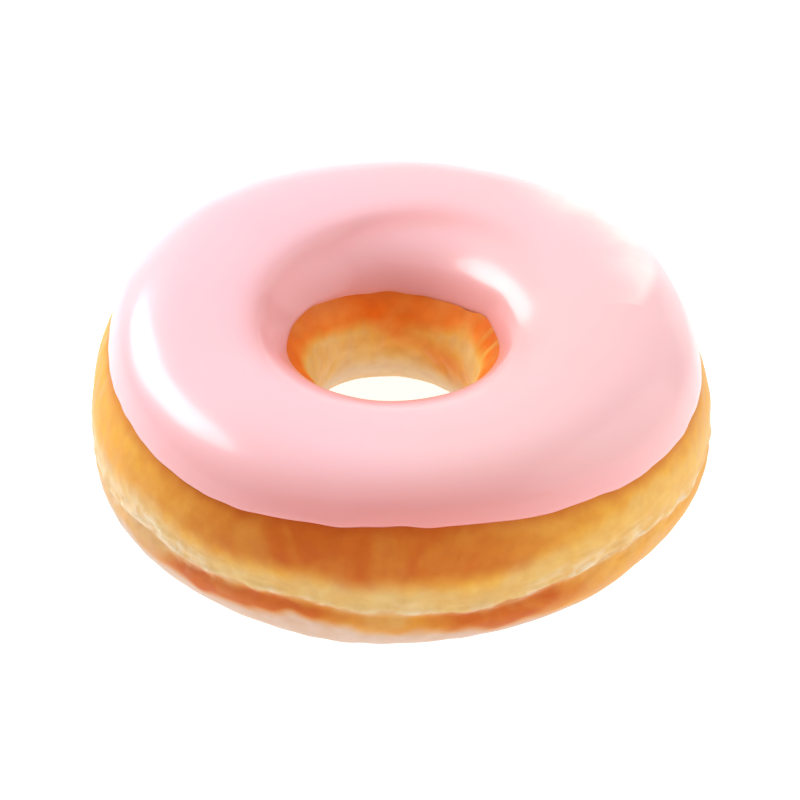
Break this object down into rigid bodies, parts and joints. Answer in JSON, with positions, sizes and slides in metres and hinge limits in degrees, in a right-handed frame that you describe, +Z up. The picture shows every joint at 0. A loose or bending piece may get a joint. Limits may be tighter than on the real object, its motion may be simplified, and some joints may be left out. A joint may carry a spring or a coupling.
{
  "type": "ring doughnut",
  "caption": "Plump yeast-raised ring doughnut with a pale crease round its waist and a smooth, glossy coat of pink icing over its top and into the hole.",
  "frame": {"origin": "centre of the doughnut's outline, on the flat ring it rests on", "axes": "+Z up through the hole, the shortest extent; -Y towards the front, the side the icing's edge and waist crease are seen from"},
  "size_m": [0.0948, 0.0934, 0.0324],
  "materials": {
    "fried_dough": null,
    "pink_icing": null
  },
  "bodies": {
    "root": {"dough": "fried_dough", "icing": "pink_icing"}
  },
  "joints": []
}
